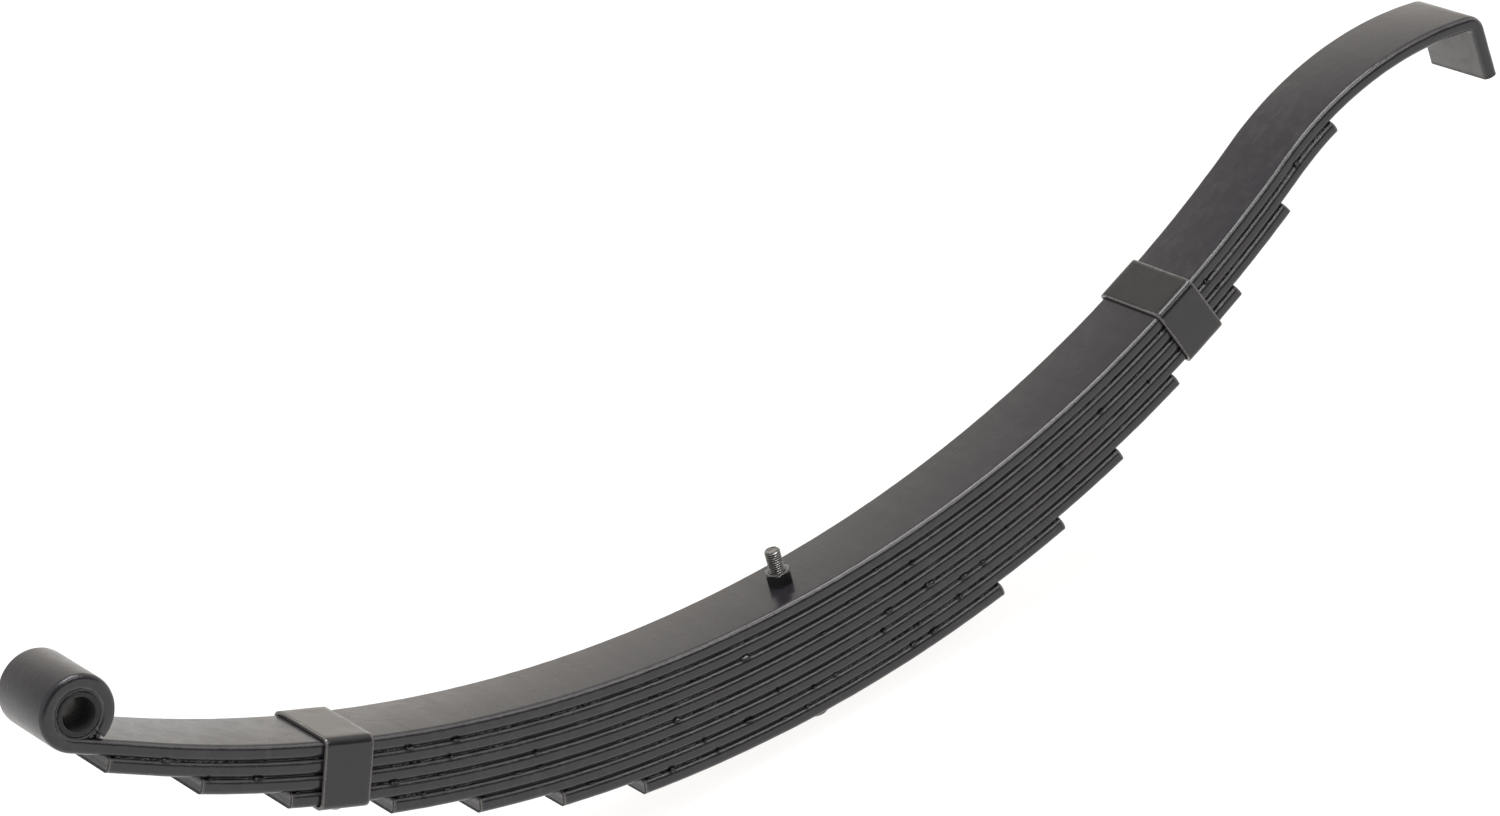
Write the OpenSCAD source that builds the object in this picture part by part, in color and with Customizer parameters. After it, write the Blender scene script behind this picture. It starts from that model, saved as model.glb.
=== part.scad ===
// Multi-leaf slipper spring: rolled eye at the -X end, hooked slipper pad at the +X end.
// X runs along the spring, Y across its width, Z up. Millimetres.
// The origin is on the centre bolt's axis, on the underside of the shortest leaf.

/* [Leaves] */
// width of every leaf
leaf_w = 70; // [45:1:100]
// thickness of every leaf
leaf_t = 12; // [8:0.5:16]
// edge rounding as a share of the leaf thickness
edge_share = 0.4; // [0.1:0.05:0.45]
// camber radius on the upper face of the main leaf
main_radius = 980; // [800:5:1500]
// leaf lengths, measured along the upper face of the main leaf
leaf_2_len = 1134; // [1100:2:1160]
// length of leaf 3
leaf_3_len = 985; // [900:2:1010]
// length of leaf 4, which carries the clips
leaf_4_len = 846; // [760:2:880]
// length of leaf 5
leaf_5_len = 688; // [560:2:720]
// length of leaf 6
leaf_6_len = 555; // [440:2:580]
// length of leaf 7
leaf_7_len = 427; // [320:2:450]
// length of leaf 8, the shortest
leaf_8_len = 302; // [200:2:340]
// how far the leaves' middles lie from the centre bolt, towards the eye
hole_offset = 3.5; // [0:0.5:10]

/* [Eye end] */
// cambered part of the main leaf, from the bolt towards the eye
eye_arc_len = 537; // [525:1:555]
// straight part from the camber to under the eye's centre
eye_straight = 64; // [50:1:90]
// inside diameter of the rolled eye
eye_bore = 33; // [26:0.5:44]
// how far the strip is rolled round from its lowest point
eye_wrap = 302; // [285:1:304]
// bore of the pressed-in bush
bush_bore = 25; // [16:0.5:30]
// how far each end of the bush stands in from the leaf's edges
bush_inset = 0.5; // [0:0.1:3]
// corner rounding on the bush's ends
bush_edge = 1.5; // [0.5:0.1:2]

/* [Slipper end] */
// cambered part of the main leaf, from the bolt towards the hook
slipper_arc_len = 512; // [500:1:540]
// radius of the reverse-curved pad on its upper face
pad_radius = 290; // [220:1:360]
// slope of the pad where the hook bends down
pad_slope = 10; // [4:0.5:20]
// inside radius of the hook's bend
hook_bend_r = 4; // [2:0.5:12]
// angle of the hook's tail off the vertical, outwards
tail_angle = 4; // [0:1:20]
// length of the hook's straight tail
tail_len = 40; // [20:1:60]

/* [Clips] */
// thickness of the clip strap
strap_t = 2.5; // [2:0.5:6]
// width of the clip strap, along the leaf
strap_w = 38; // [25:1:50]
// clearance between strap and leaf edges, each side
strap_side_gap = 0.8; // [0.3:0.1:3]
// clearance between strap and the main leaf's upper face
strap_top_gap = 0.3; // [0.3:0.1:4]
// outside corner radius of the strap
strap_bend = 4.5; // [4:0.5:9]
// from the end of leaf 4 to the eye end clip's middle
eye_clip_inset = 40; // [30:1:55]
// from the end of leaf 4 to the slipper end clip's middle
slipper_clip_inset = 45; // [30:1:55]
// gap left between the two folded strap ends
strap_end_gap = 10; // [4:1:20]
// clip rivet diameter
rivet_d = 8; // [5:0.5:10]
// diameter of the rivet's round head
rivet_head_d = 14; // [10:0.5:16]
// height of the rivet's round head
rivet_head_h = 4; // [2:0.5:6]

/* [Centre bolt] */
// bolt thread diameter
bolt_d = 12; // [8:1:16]
// clearance hole through the leaves
bolt_hole = 13; // [9:0.5:18]
// nut width across flats
nut_flats = 18; // [13:1:24]
// nut height
nut_h = 10; // [6:0.5:16]
// thread left standing above the nut
stud_out = 17.5; // [5:0.5:30]
// diameter of the cylindrical head under the leaves
head_d = 20; // [16:0.5:30]
// height of the cylindrical head
head_h = 15; // [8:0.5:20]
// chamfer on the bolt's two ends
bolt_chamfer = 1.2; // [0.5:0.1:2]

/* [Hidden] */
leaf_count = 8;
edge_steps = 4;
small_fn = 96;
large_fn = 256;
nut_seat_gap = 0.1;
lap = 0.3;
slim = 0.03;
edge_r = edge_share * leaf_t;
pack_h = leaf_count * leaf_t;
camber_z = pack_h + main_radius;
arc_deg = 180 / (PI * main_radius);
eye_angle = eye_arc_len * arc_deg;
slipper_angle = slipper_arc_len * arc_deg;
eye_in_r = eye_bore / 2;
eye_x = -main_radius * sin(eye_angle) - eye_straight * cos(eye_angle) + eye_in_r * sin(eye_angle);
eye_z = camber_z - main_radius * cos(eye_angle) + eye_straight * sin(eye_angle)
    + eye_in_r * cos(eye_angle);
pad_x = (main_radius + pad_radius) * sin(slipper_angle);
pad_z = camber_z - (main_radius + pad_radius) * cos(slipper_angle);
hook_out_r = hook_bend_r + leaf_t;
hook_x = pad_x + (pad_radius - hook_out_r) * sin(pad_slope);
hook_z = pad_z + (pad_radius - hook_out_r) * cos(pad_slope);
clip_y = leaf_w / 2 + strap_side_gap + strap_t;
clip_top = strap_top_gap + strap_t;
clip_low = -4 * leaf_t - strap_t;
rivet_y = (clip_y + strap_end_gap / 2) / 2;
leaf_paint = [0.2, 0.2, 0.21];
fixing_paint = [0.15, 0.15, 0.16];
bush_colour = [0.28, 0.28, 0.29];

// cross-section of a leaf: X from 0 to the thickness, Y across the width, edges rounded
// inset draws it a hair smaller all round, for a run that laps into the end of the next
module bar_section(inset) {
    round_r = edge_r - inset;
    polygon([for (c = [[1, 1, 0], [0, 1, 90], [0, 0, 180], [1, 0, 270]])
        for (i = [0 : edge_steps])
            let (a = c[2] + 90 * i / edge_steps,
                cx = c[0] == 1 ? leaf_t - edge_r : edge_r,
                cy = c[1] == 1 ? leaf_w / 2 - edge_r : edge_r - leaf_w / 2)
            [cx + round_r * cos(a), cy + round_r * sin(a)]]);
}

// bar bent about the Y axis, from angle a0 to a1 (0 is +X, 90 is +Z), inner radius r
module bar_arc(r, a0, a1, facets, inset = 0) {
    rotate([90, 0, 0])
        rotate([0, 0, a0])
            rotate_extrude(angle = a1 - a0, $fn = facets)
                translate([r, 0])
                    bar_section(inset);
}

// slim straight bar along +X, from x0 to x1, with its upper face at z = 0
module bar_straight(x0, x1) {
    translate([x0, 0, 0])
        rotate([0, 90, 0])
            linear_extrude(x1 - x0)
                bar_section(slim);
}

// frame on the main leaf's upper face, s millimetres along the camber from the bolt
module at_station(s) {
    translate([0, 0, camber_z])
        rotate([0, -s * arc_deg, 0])
            translate([0, 0, -main_radius])
                children();
}

// clearance hole for the centre bolt, right through the pack
module bolt_hole_cut() {
    translate([0, 0, -leaf_t])
        cylinder(d = bolt_hole, h = pack_h + 2 * leaf_t, $fn = small_fn);
}

// cambered bar of leaf k between two angles either side of the bolt
module cambered(k, eye_a, slipper_a) {
    translate([0, 0, camber_z])
        bar_arc(main_radius + (k - 1) * leaf_t, -90 - eye_a, -90 + slipper_a, large_fn);
}

// plain leaf k, square cut at both ends
module plain_leaf(k, len) {
    color(leaf_paint)
        difference() {
            cambered(k, (len / 2 + hole_offset) * arc_deg, (len / 2 - hole_offset) * arc_deg);
            bolt_hole_cut();
        }
}

// straight run of leaf k from the end of the camber out to len, and end_lap beyond
module eye_run(k, len, end_lap) {
    translate([0, 0, camber_z])
        rotate([0, eye_angle, 0])
            translate([0, 0, -main_radius - (k - 1) * leaf_t])
                bar_straight(-len - end_lap, lap);
}

// reverse-curved run of leaf k from the end of the camber through sweep, and end_lap beyond
module pad_run(k, sweep, end_lap) {
    lap_deg = 180 / (PI * pad_radius);
    translate([pad_x, 0, pad_z])
        bar_arc(pad_radius - k * leaf_t, 90 + slipper_angle - sweep - end_lap * lap_deg,
            90 + slipper_angle + lap * lap_deg, large_fn, slim);
}

// rolled eye, turned up from the end of the straight run
module eye_roll() {
    translate([eye_x, 0, eye_z])
        bar_arc(eye_in_r, -90 - eye_angle - eye_wrap, -90 - eye_angle, small_fn);
}

// hook: sharp bend down and short straight tail
module hook() {
    translate([hook_x, 0, hook_z]) {
        bar_arc(hook_bend_r, tail_angle, 90 - pad_slope, small_fn);
        rotate([0, 90 - tail_angle, 0])
            translate([0, 0, hook_out_r])
                bar_straight(-lap, tail_len);
    }
}

// main leaf: eye, straight run, camber, reverse-curved pad and hook in one strip
module main_leaf() {
    color(leaf_paint)
        difference() {
            union() {
                eye_roll();
                eye_run(1, eye_straight, lap);
                cambered(1, eye_angle, slipper_angle);
                pad_run(1, slipper_angle + pad_slope, lap);
                hook();
            }
            bolt_hole_cut();
        }
}

// leaf 2 follows the main leaf under the eye and under the start of the pad
module leaf_2() {
    eye_len = leaf_2_len / 2 + hole_offset - eye_arc_len;
    pad_len = leaf_2_len / 2 - hole_offset - slipper_arc_len;
    color(leaf_paint)
        difference() {
            union() {
                eye_run(2, eye_len, 0);
                cambered(2, eye_angle, slipper_angle);
                pad_run(2, pad_len / pad_radius * 180 / PI, 0);
            }
            bolt_hole_cut();
        }
}

module leaf_3() {
    plain_leaf(3, leaf_3_len);
}

// leaf 4 has two countersunk rivet holes near each end
module leaf_4() {
    color(leaf_paint)
        difference() {
            plain_leaf(4, leaf_4_len);
            clip_rivets(eye_clip_s());
            clip_rivets(slipper_clip_s());
        }
}

module leaf_5() {
    plain_leaf(5, leaf_5_len);
}

module leaf_6() {
    plain_leaf(6, leaf_6_len);
}

module leaf_7() {
    plain_leaf(7, leaf_7_len);
}

module leaf_8() {
    plain_leaf(8, leaf_8_len);
}

// bush pressed into the eye, with rounded ends
module eye_bush() {
    half = leaf_w / 2 - bush_inset;
    color(bush_colour)
        translate([eye_x, 0, eye_z])
            rotate([90, 0, 0])
                rotate_extrude($fn = small_fn)
                    difference() {
                        translate([bush_bore / 2, -half])
                            square([eye_in_r - bush_bore / 2, 2 * half]);
                        for (end = [-1, 1])
                            translate([eye_in_r, end * half])
                                rotate([0, 0, 45])
                                    square(bush_edge * sqrt(2), center = true);
                    }
}

// bolt with a plain cylindrical head below and its threaded end above
module centre_bolt() {
    top = pack_h + nut_seat_gap + nut_h + stud_out;
    color(fixing_paint) {
        translate([0, 0, -head_h])
            cylinder(d1 = head_d - 2 * bolt_chamfer, d2 = head_d, h = bolt_chamfer, $fn = small_fn);
        translate([0, 0, bolt_chamfer - head_h])
            cylinder(d = head_d, h = head_h - bolt_chamfer, $fn = small_fn);
        cylinder(d = bolt_d, h = top - bolt_chamfer, $fn = small_fn);
        translate([0, 0, top - bolt_chamfer])
            cylinder(d1 = bolt_d, d2 = bolt_d - 2 * bolt_chamfer, h = bolt_chamfer, $fn = small_fn);
    }
}

// hexagon nut with its upper corners chamfered
module centre_nut() {
    across_corners = nut_flats / cos(30);
    nut_top_d = nut_flats - 0.4;
    color(fixing_paint)
        translate([0, 0, pack_h + nut_seat_gap])
            difference() {
                intersection() {
                    cylinder(d = across_corners, h = nut_h, $fn = 6);
                    cylinder(d1 = nut_top_d + 4 * nut_h, d2 = nut_top_d, h = nut_h, $fn = small_fn);
                }
                translate([0, 0, -1])
                    cylinder(d = bolt_d, h = nut_h + 2, $fn = small_fn);
            }
}

// rectangle with rounded corners, from [x0, y0] to [x1, y1]
module rounded_box(x0, y0, x1, y1, r) {
    translate([x0 + r, y0])
        square([x1 - x0 - 2 * r, y1 - y0]);
    translate([x0, y0 + r])
        square([x1 - x0, y1 - y0 - 2 * r]);
    for (x = [x0 + r, x1 - r])
        for (y = [y0 + r, y1 - r])
            translate([x, y])
                circle(r, $fn = small_fn);
}

// strap bent round the first four leaves, its ends folded under leaf 4
module clip_strap(s) {
    at_station(s)
        difference() {
            translate([-strap_w / 2, 0, 0])
                rotate([90, 0, 90])
                    linear_extrude(strap_w)
                        difference() {
                            rounded_box(-clip_y, clip_low, clip_y, clip_top, strap_bend);
                            rounded_box(strap_t - clip_y, clip_low + strap_t,
                                clip_y - strap_t, strap_top_gap, strap_bend - strap_t);
                            translate([-strap_end_gap / 2, clip_low - 1])
                                square([strap_end_gap, strap_t + 2]);
                        }
            rivet_pair();
        }
}

// two rivets in the clip's frame: round head below the strap, flush head in leaf 4
module rivet_pair() {
    sink = (rivet_head_d - rivet_d) / 2;
    for (side = [-1, 1])
        translate([0, side * rivet_y, 0]) {
            translate([0, 0, clip_low - rivet_head_h])
                cylinder(d1 = rivet_d, d2 = rivet_head_d, h = rivet_head_h, $fn = small_fn);
            translate([0, 0, clip_low])
                cylinder(d = rivet_d, h = strap_t + leaf_t - sink, $fn = small_fn);
            translate([0, 0, clip_low + strap_t + leaf_t - sink])
                cylinder(d1 = rivet_d, d2 = rivet_head_d, h = sink, $fn = small_fn);
        }
}

module clip_rivets(s) {
    at_station(s)
        rivet_pair();
}

function eye_clip_s() = -(leaf_4_len / 2 + hole_offset - eye_clip_inset);
function slipper_clip_s() = leaf_4_len / 2 - hole_offset - slipper_clip_inset;

module eye_end_clip() {
    color(fixing_paint)
        clip_strap(eye_clip_s());
}

module slipper_end_clip() {
    color(fixing_paint)
        clip_strap(slipper_clip_s());
}

module eye_end_clip_rivets() {
    color(fixing_paint)
        clip_rivets(eye_clip_s());
}

module slipper_end_clip_rivets() {
    color(fixing_paint)
        clip_rivets(slipper_clip_s());
}

main_leaf();
leaf_2();
leaf_3();
leaf_4();
leaf_5();
leaf_6();
leaf_7();
leaf_8();
eye_bush();
centre_bolt();
centre_nut();
eye_end_clip();
slipper_end_clip();
eye_end_clip_rivets();
slipper_end_clip_rivets();
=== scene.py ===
import math

import bmesh
import bpy
from mathutils import Matrix, Vector, noise


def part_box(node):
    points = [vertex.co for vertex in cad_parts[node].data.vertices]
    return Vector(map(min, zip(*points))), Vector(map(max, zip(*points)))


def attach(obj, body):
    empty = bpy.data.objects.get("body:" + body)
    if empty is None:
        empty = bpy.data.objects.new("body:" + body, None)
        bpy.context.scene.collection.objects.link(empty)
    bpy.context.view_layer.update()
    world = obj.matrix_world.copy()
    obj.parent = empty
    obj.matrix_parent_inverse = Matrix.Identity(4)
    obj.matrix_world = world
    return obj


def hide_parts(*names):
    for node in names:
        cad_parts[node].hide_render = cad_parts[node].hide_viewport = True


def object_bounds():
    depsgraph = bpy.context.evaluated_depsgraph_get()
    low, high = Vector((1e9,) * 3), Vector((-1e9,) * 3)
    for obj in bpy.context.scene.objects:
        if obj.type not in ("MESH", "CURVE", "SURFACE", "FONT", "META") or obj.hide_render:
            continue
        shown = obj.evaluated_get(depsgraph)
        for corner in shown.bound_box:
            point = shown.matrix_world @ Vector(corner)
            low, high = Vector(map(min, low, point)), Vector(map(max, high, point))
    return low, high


# Eight-leaf slipper spring in black chassis paint. Metres; X along the spring, Y across it, Z up.
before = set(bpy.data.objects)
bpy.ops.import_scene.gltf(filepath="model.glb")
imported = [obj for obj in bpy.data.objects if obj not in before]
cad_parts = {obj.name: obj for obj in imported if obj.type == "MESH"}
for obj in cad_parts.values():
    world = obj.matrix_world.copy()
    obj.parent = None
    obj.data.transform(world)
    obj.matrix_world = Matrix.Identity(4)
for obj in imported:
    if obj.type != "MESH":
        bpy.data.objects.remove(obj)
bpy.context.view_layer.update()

MM = 0.001

# The leaves, as rolled and bent
LEAF_W = 70 * MM
LEAF_T = 12 * MM
EDGE_R = 4.8 * MM
LEAVES = 8
PACK_H = LEAVES * LEAF_T
LINE_STEP = 2.5 * MM
CAMBER_R = 980 * MM
CAMBER_Z = PACK_H + CAMBER_R
EYE_ARC = 537 * MM
EYE_STRAIGHT = 64 * MM
EYE_IN_R = 16.5 * MM
EYE_WRAP = 302
SLIPPER_ARC = 512 * MM
PAD_R = 290 * MM
PAD_SLOPE = 10
HOOK_OUT_R = 16 * MM
TAIL_ANGLE = 4
TAIL_LEN = 40 * MM
HOLE_OFFSET = 3.5 * MM
HOOK_X = 672 * MM
SEAM_Y = LEAF_W / 2 - 3.3 * MM
LEAF_LEN = {2: 1134 * MM, 3: 985 * MM, 4: 846 * MM, 5: 688 * MM, 6: 555 * MM, 7: 427 * MM, 8: 302 * MM}

# The bush, the bolt and its nut
BUSH_BORE_R = 12.5 * MM
BUSH_HALF = 34.5 * MM
BUSH_ROUND = 1.5 * MM
BORE_BREAK = 0.5 * MM
BOLT_R = 6 * MM
HEAD_R = 10 * MM
HEAD_H = 15 * MM
HEAD_BEVEL = 1.2 * MM
THREAD_PITCH = 1.75 * MM
THREAD_DEPTH = 0.95 * MM
THREAD_STEP = 0.13 * MM
TIP_CONE = 1.1 * MM
NUT_SEAT = PACK_H + 0.1 * MM
NUT_H = 10 * MM
NUT_FLATS_R = 9 * MM
NUT_SINK = 0.9 * MM
NUT_TOP = NUT_SEAT + NUT_H
STUD_TOP = NUT_TOP + 17.5 * MM

# The clips
STRAP_T = 2.5 * MM
STRAP_W = 38 * MM
STRAP_BEND = 6.5 * MM
STRAP_Y = LEAF_W / 2 + 0.8 * MM + STRAP_T
STRAP_TOP = 0.3 * MM + STRAP_T
STRAP_LOW = -4 * LEAF_T - STRAP_T
STRAP_GAP = 10 * MM
STRAP_BREAK = 0.35 * MM
STRAP_STEP = 5 * MM
RIVET_Y = (STRAP_Y + STRAP_GAP / 2) / 2
RIVET_R = 4 * MM
RIVET_HEAD_R = 7 * MM
RIVET_HEAD_H = 4 * MM
EYE_CLIP_S = -(LEAF_LEN[4] / 2 + HOLE_OFFSET - 40 * MM)
SLIPPER_CLIP_S = LEAF_LEN[4] / 2 - HOLE_OFFSET - 45 * MM


# ---------------------------------------------------------------- node helpers

def add(tree, kind, inputs=None, **settings):
    """One node with its settings, its inputs fed by plain values or by other nodes' sockets."""
    node = tree.nodes.new(kind)
    for key, value in settings.items():
        setattr(node, key, value)
    for key, value in (inputs or {}).items():
        if isinstance(value, bpy.types.NodeSocket):
            tree.links.new(value, node.inputs[key])
        else:
            node.inputs[key].default_value = value
    return node


def combine(tree, **parts):
    """A vector from its X, Y and Z parts, those not given being zero."""
    return add(tree, "ShaderNodeCombineXYZ", parts).outputs["Vector"]


def here(tree):
    """Place on the piece, in metres from the part's origin."""
    return tree.nodes.new("ShaderNodeTexCoord").outputs["Object"]


def maths(tree, operation, a, b=0.0, clamp=False):
    """The result socket of one arithmetic step."""
    node = add(tree, "ShaderNodeMath", {0: a, 1: b}, operation=operation, use_clamp=clamp)
    return node.outputs[0]


def remap(tree, value, low, high, to_low=0.0, to_high=1.0):
    """value, taken smoothly from low..high to to_low..to_high."""
    inputs = {"Value": value, "From Min": low, "From Max": high, "To Min": to_low, "To Max": to_high}
    node = add(tree, "ShaderNodeMapRange", inputs, interpolation_type="SMOOTHSTEP")
    return node.outputs["Result"]


def blend_colour(tree, share, a, b):
    """Colour a turning into colour b as share goes from 0 to 1."""
    node = add(tree, "ShaderNodeMix", {0: share, 6: a, 7: b}, data_type="RGBA")
    return node.outputs[2]


def grain(tree, place, scale, detail=3.0, rough=0.55, twist=0.0):
    """A cloudy value around one half, at scale waves a metre."""
    inputs = {"Vector": place, "Scale": scale, "Detail": detail, "Roughness": rough, "Distortion": twist}
    return add(tree, "ShaderNodeTexNoise", inputs).outputs["Fac"]


def new_group(name, inputs, outputs):
    """An empty shader group with named sockets, and its two end nodes."""
    group = bpy.data.node_groups.new(name, "ShaderNodeTree")
    for label, kind, value in inputs:
        socket = group.interface.new_socket(label, in_out="INPUT", socket_type="NodeSocket" + kind)
        socket.default_value = value
    for label, kind in outputs:
        group.interface.new_socket(label, in_out="OUTPUT", socket_type="NodeSocket" + kind)
    return group, group.nodes.new("NodeGroupInput").outputs, group.nodes.new("NodeGroupOutput").inputs


def use_group(tree, group, values):
    """The outputs of a group placed with its own values."""
    return add(tree, "ShaderNodeGroup", values, node_tree=group).outputs


# ---------------------------------------------------------------- shared effects

def paint_film_group():
    """Dipped chassis paint: cloudy colour, patchy gloss, fine orange peel and rolled-steel mottle."""
    group, given, out = new_group("paint film", [
        ("Paint", "Color", (0.03, 0.03, 0.03, 1)), ("Haze", "Color", (0.06, 0.06, 0.06, 1)),
        ("Haze share", "Float", 0.5), ("Mottle size", "Float", 0.012), ("Peel size", "Float", 0.0012),
        ("Mottle depth", "Float", 0.5), ("Peel depth", "Float", 0.2),
        ("Glossiest", "Float", 0.3), ("Dullest", "Float", 0.5),
    ], [("Colour", "Color"), ("Roughness", "Float"), ("Height", "Float")])
    place = here(group)
    mottle = grain(group, place, maths(group, "DIVIDE", 1.0, given["Mottle size"]), 6.0, 0.62, 0.4)
    cloud = grain(group, place, 9.0, 4.0, 0.6, 0.6)
    peel = grain(group, place, maths(group, "DIVIDE", 1.0, given["Peel size"]), 2.0, 0.5)
    patch = maths(group, "MULTIPLY", remap(group, mottle, 0.42, 0.7), remap(group, cloud, 0.3, 0.7))
    share = maths(group, "MULTIPLY", patch, given["Haze share"], True)
    speck = remap(group, grain(group, place, 520.0, 1.0, 0.4), 0.76, 0.8)
    share = maths(group, "ADD", share, maths(group, "MULTIPLY", speck, 0.35), True)
    group.links.new(blend_colour(group, share, given["Paint"], given["Haze"]), out["Colour"])
    dull = maths(group, "MULTIPLY", mottle, 0.6)
    dull = maths(group, "ADD", dull, maths(group, "MULTIPLY", cloud, 0.4))
    gloss = remap(group, dull, 0.3, 0.7, given["Glossiest"], given["Dullest"])
    group.links.new(gloss, out["Roughness"])
    relief = maths(group, "MULTIPLY", mottle, given["Mottle depth"])
    relief = maths(group, "ADD", relief, maths(group, "MULTIPLY", peel, given["Peel depth"]))
    group.links.new(relief, out["Height"])
    return group


def edge_wear_and_highlight_group():
    """An edge mask broken up into rubbed spots and short streaks: real wear on the fixings, and partly
    painted highlight on the leaves' upper shoulders and cut lips.
    """
    group, given, out = new_group("edge wear and highlight", [
        ("Edge", "Float", 0.0), ("Spot size", "Float", 0.004), ("Amount", "Float", 0.5),
    ], [("Wear and highlight", "Float")])
    spots = grain(group, here(group), maths(group, "DIVIDE", 1.0, given["Spot size"]), 4.0, 0.65)
    limit = maths(group, "SUBTRACT", 1.0, maths(group, "MULTIPLY", given["Amount"], 0.75))
    level = maths(group, "MULTIPLY", given["Edge"], maths(group, "ADD", spots, 0.3))
    level = maths(group, "SUBTRACT", level, maths(group, "MULTIPLY", limit, 0.7))
    group.links.new(maths(group, "MULTIPLY", level, 6.0, True), out["Wear and highlight"])
    return group


def machined_group():
    """Machined steel: fine tool marks, stains and small nicks."""
    group, given, out = new_group("machined steel", [
        ("Bright", "Color", (0.5, 0.5, 0.5, 1)), ("Stained", "Color", (0.25, 0.24, 0.22, 1)),
        ("Mark size", "Float", 0.0004), ("Glossiest", "Float", 0.2), ("Dullest", "Float", 0.4),
    ], [("Colour", "Color"), ("Roughness", "Float"), ("Height", "Float")])
    place = here(group)
    stain = grain(group, place, 300.0, 5.0, 0.6, 0.5)
    marks = grain(group, place, maths(group, "DIVIDE", 1.0, given["Mark size"]), 2.0, 0.5)
    share = remap(group, stain, 0.4, 0.68)
    group.links.new(blend_colour(group, share, given["Bright"], given["Stained"]), out["Colour"])
    gloss = remap(group, stain, 0.3, 0.7, given["Glossiest"], given["Dullest"])
    group.links.new(gloss, out["Roughness"])
    nicks = maths(group, "ADD", marks, maths(group, "MULTIPLY", stain, 0.7))
    group.links.new(nicks, out["Height"])
    return group


PAINT_FILM = paint_film_group()
EDGE_WEAR_AND_HIGHLIGHT = edge_wear_and_highlight_group()
MACHINED = machined_group()


# ---------------------------------------------------------------- finishes

def new_finish(name):
    """A material with only its shader and output, and the shader node."""
    finish = bpy.data.materials.new(name)
    finish.use_nodes = True
    return finish, finish.node_tree, finish.node_tree.nodes["Principled BSDF"]


def attribute(tree, name):
    """A value that the mesh carries on its points."""
    return add(tree, "ShaderNodeAttribute", attribute_name=name).outputs["Fac"]


def finish_surface(tree, shader, colour, roughness, height, depth):
    """Feeds the shader; depth is the bump's height in metres for a full step of the height value."""
    bump = add(tree, "ShaderNodeBump", {"Strength": 1.0, "Distance": depth, "Height": height})
    tree.links.new(colour, shader.inputs["Base Color"])
    tree.links.new(roughness, shader.inputs["Roughness"])
    tree.links.new(bump.outputs["Normal"], shader.inputs["Normal"])


def leaf_finish():
    """Black chassis paint over rolled steel, rough on sheared ends; lighter on the upper shoulders and cut
    lips as rubbed paint with painted highlight, and lighter inside the hook as painted reflection.
    """
    finish, tree, shader = new_finish("leaf paint")
    film = use_group(tree, PAINT_FILM, {
        "Paint": (0.0185, 0.0172, 0.0205, 1), "Haze": (0.045, 0.042, 0.043, 1), "Haze share": 0.5,
        "Mottle size": 0.011, "Peel size": 0.0016, "Mottle depth": 0.5, "Peel depth": 0.06,
        "Glossiest": 0.17, "Dullest": 0.33})
    # Upper shoulders: rubbed paint plus painted highlight, lightened in the loop below.
    shoulder_wear_and_highlight = {"Edge": attribute(tree, "shoulder_wear_and_highlight"), "Spot size": 0.0045, "Amount": 0.7}
    # Cut lips: worn paint plus painted highlight, lightened in the loop below.
    lip_wear_and_highlight = {"Edge": attribute(tree, "lip_wear_and_highlight"), "Spot size": 0.004, "Amount": 0.62}
    sheared = attribute(tree, "sheared")
    side = attribute(tree, "side")
    torn = grain(tree, here(tree), 420.0, 5.0, 0.7, 0.8)
    scale = grain(tree, here(tree), 170.0, 5.0, 0.68, 0.5)

    # Painted reflection of the floor on the underside corners inside the hook, patchy with the paint's
    # relief.
    painted_hook_sheen = remap(tree, film["Height"], 0.15, 0.32, 0.6, 1.0)
    painted_hook_sheen = maths(tree, "MULTIPLY", attribute(tree, "painted_hook_sheen"), painted_hook_sheen)
    torn_share = maths(tree, "MULTIPLY", sheared, remap(tree, torn, 0.45, 0.62))
    colour = film["Colour"]
    # Lighter colours over the paint: upper shoulders as rubbed paint and painted highlight, the hook's
    # inside as painted reflection, torn cut ends, and cut lips as worn paint and painted highlight.
    for share, under in (
            (use_group(tree, EDGE_WEAR_AND_HIGHLIGHT, shoulder_wear_and_highlight)["Wear and highlight"], (0.085, 0.082, 0.08, 1)),
            (painted_hook_sheen, (0.115, 0.111, 0.106, 1)),
            (torn_share, (0.04, 0.037, 0.035, 1)),
            (use_group(tree, EDGE_WEAR_AND_HIGHLIGHT, lip_wear_and_highlight)["Wear and highlight"], (0.15, 0.145, 0.135, 1))):
        colour = blend_colour(tree, share, colour, under)

    rough = maths(tree, "SUBTRACT", film["Roughness"], maths(tree, "MULTIPLY", side, 0.1))
    rough = maths(tree, "ADD", rough, maths(tree, "MULTIPLY", sheared, 0.45), True)
    height = film["Height"]
    for where, pattern, depth in ((sheared, torn, 3.0), (side, scale, 0.55)):
        relief = maths(tree, "MULTIPLY", maths(tree, "MULTIPLY", where, pattern), depth)
        height = maths(tree, "ADD", height, relief)
    finish_surface(tree, shader, colour, rough, height, 0.00035)
    return finish


def fixing_finish(name, paint, haze, peel, worn, glossiest):
    """Smooth black paint: peel is its orange peel's depth, worn how much its edges are rubbed."""
    finish, tree, shader = new_finish(name)
    film = use_group(tree, PAINT_FILM, {
        "Paint": paint, "Haze": haze, "Haze share": 0.4, "Mottle size": 0.009, "Peel size": 0.0008,
        "Mottle depth": 0.25, "Peel depth": peel, "Glossiest": glossiest, "Dullest": glossiest + 0.1})
    edge = {"Edge": attribute(tree, "edge"), "Spot size": 0.002, "Amount": worn}
    wear = use_group(tree, EDGE_WEAR_AND_HIGHLIGHT, edge)["Wear and highlight"]
    colour = blend_colour(tree, wear, film["Colour"], (0.11, 0.105, 0.1, 1))
    finish_surface(tree, shader, colour, film["Roughness"], film["Height"], 0.0003)
    return finish


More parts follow.
